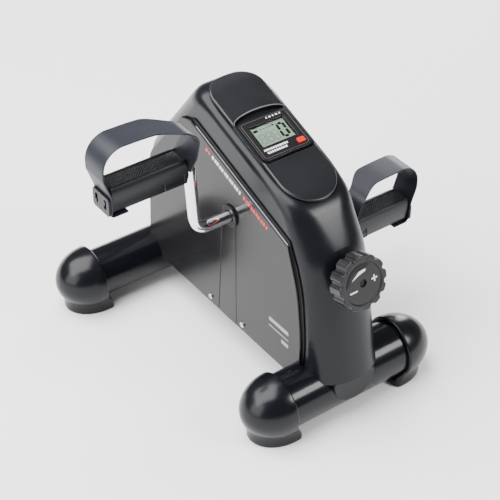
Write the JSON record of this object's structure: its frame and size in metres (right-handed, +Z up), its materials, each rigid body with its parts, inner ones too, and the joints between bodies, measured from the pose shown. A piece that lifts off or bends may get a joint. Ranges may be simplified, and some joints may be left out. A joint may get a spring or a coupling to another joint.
{
  "type": "pedal exerciser",
  "caption": "Under-desk pedal exerciser: slanted housing on two cross tubes with rubber feet, bent crank with strapped pedals, band brake knob and a counter display.",
  "frame": {"origin": "on the floor, midway between the two cross tubes and between the two side panels", "axes": "+X along the crank axle, -Y towards the user and the knob, +Z up"},
  "size_m": [0.3962, 0.3805, 0.3322],
  "materials": {
    "tube_paint": "semi-gloss black paint",
    "cap_rubber": "satin moulded rubber",
    "frame_paint": "black paint",
    "housing_plastic": "satin moulded plastic",
    "panel_gloss": "glossy dark grey plastic",
    "pad_plastic": "satin black plastic",
    "counter_plastic": "semi-gloss black plastic",
    "lens_clear": "clear window",
    "display_grey": "grey-green liquid crystal cell",
    "board_green": "circuit board",
    "cell_steel": "bright zinc-plated steel",
    "button_red": "moulded red plastic",
    "crank_chrome": "polished chrome plate",
    "drum_iron": "turned iron",
    "band_felt": "wool felt",
    "pedal_plastic": "textured black plastic",
    "bush_plastic": "plain black plastic",
    "strap_rubber": "matt dark blue-grey rubber",
    "knob_plastic": "satin black plastic"
  },
  "bodies": {
    "frame": {"band_anchor": "frame_paint", "base_rail": "frame_paint", "brake_band": "band_felt", "brake_guide": "frame_paint", "button_cell": "cell_steel", "counter_back": "counter_plastic", "counter_board": "board_green", "counter_case": "counter_plastic", "display_cell": "display_grey", "display_lens": "lens_clear", "front_left_cap": "cap_rubber", "front_rail_bolts": "cell_steel", "front_right_cap": "cap_rubber", "front_tube": "tube_paint", "knob_collar": "bush_plastic", "left_axle_cover": "bush_plastic", "left_bearing": "cell_steel", "left_panel": "panel_gloss", "left_panel_screws": "cell_steel", "left_plate": "frame_paint", "left_shell": "housing_plastic", "left_slot_cover": "panel_gloss", "left_trim": "panel_gloss", "neck_saddle": "housing_plastic", "rear_left_cap": "cap_rubber", "rear_rail_bolts": "cell_steel", "rear_right_cap": "cap_rubber", "rear_tube": "tube_paint", "right_axle_cover": "bush_plastic", "right_bearing": "cell_steel", "right_panel": "panel_gloss", "right_panel_screws": "cell_steel", "right_plate": "frame_paint", "right_shell": "housing_plastic", "right_slot_cover": "panel_gloss", "right_trim": "panel_gloss", "speed_sensor": "bush_plastic", "top_pad": "pad_plastic"},
    "crank": {"left_crank": "crank_chrome", "right_crank": "crank_chrome", "brake_drum": "drum_iron", "left_spindle_cap": "bush_plastic", "right_spindle_cap": "bush_plastic", "drum_magnet": "cell_steel"},
    "left_pedal_unit": {"left_pedal": "pedal_plastic", "left_pedal_bushes": "bush_plastic", "left_strap": "strap_rubber", "left_strap_plate": "pedal_plastic"},
    "right_pedal_unit": {"right_pedal": "pedal_plastic", "right_pedal_bushes": "bush_plastic", "right_strap": "strap_rubber", "right_strap_plate": "pedal_plastic"},
    "knob_unit": {"tension_knob": "knob_plastic", "brake_screw": "cell_steel"},
    "carrier_unit": {"brake_carrier": "drum_iron", "brake_spring": "cell_steel"},
    "button_unit": {"mode_button": "button_red"}
  },
  "joints": [
    {"name": "crank_spin", "type": "hinge", "parent": "frame", "child": "crank", "pos_m": [0, -0.014, 0.188], "axis": [1, 0, 0], "continuous": true},
    {"name": "left_pedal_spin", "type": "hinge", "parent": "crank", "child": "left_pedal_unit", "pos_m": [-0.14, -0.00494, 0.26749], "axis": [1, 0, 0], "continuous": true},
    {"name": "right_pedal_spin", "type": "hinge", "parent": "crank", "child": "right_pedal_unit", "pos_m": [0.14, -0.02306, 0.10851], "axis": [1, 0, 0], "continuous": true},
    {"name": "knob_turn", "type": "hinge", "parent": "frame", "child": "knob_unit", "pos_m": [0, -0.156, 0.178], "axis": [0, -0.9613, 0.2756], "range_deg": [-720, 720]},
    {"name": "carrier_slide", "type": "slide", "parent": "frame", "child": "carrier_unit", "axis": [0, -0.9613, 0.2756], "range_m": [-0.0032, 0.0032]},
    {"name": "button_press", "type": "slide", "parent": "frame", "child": "button_unit", "axis": [0, 0.3304, -0.9439], "range_m": [0, 0.001], "stiffness_N_per_m": 400}
  ],
  "couplings": [
    {"joint": "carrier_slide", "follows": "knob_turn", "m_per_rad": -0.00023873}
  ]
}
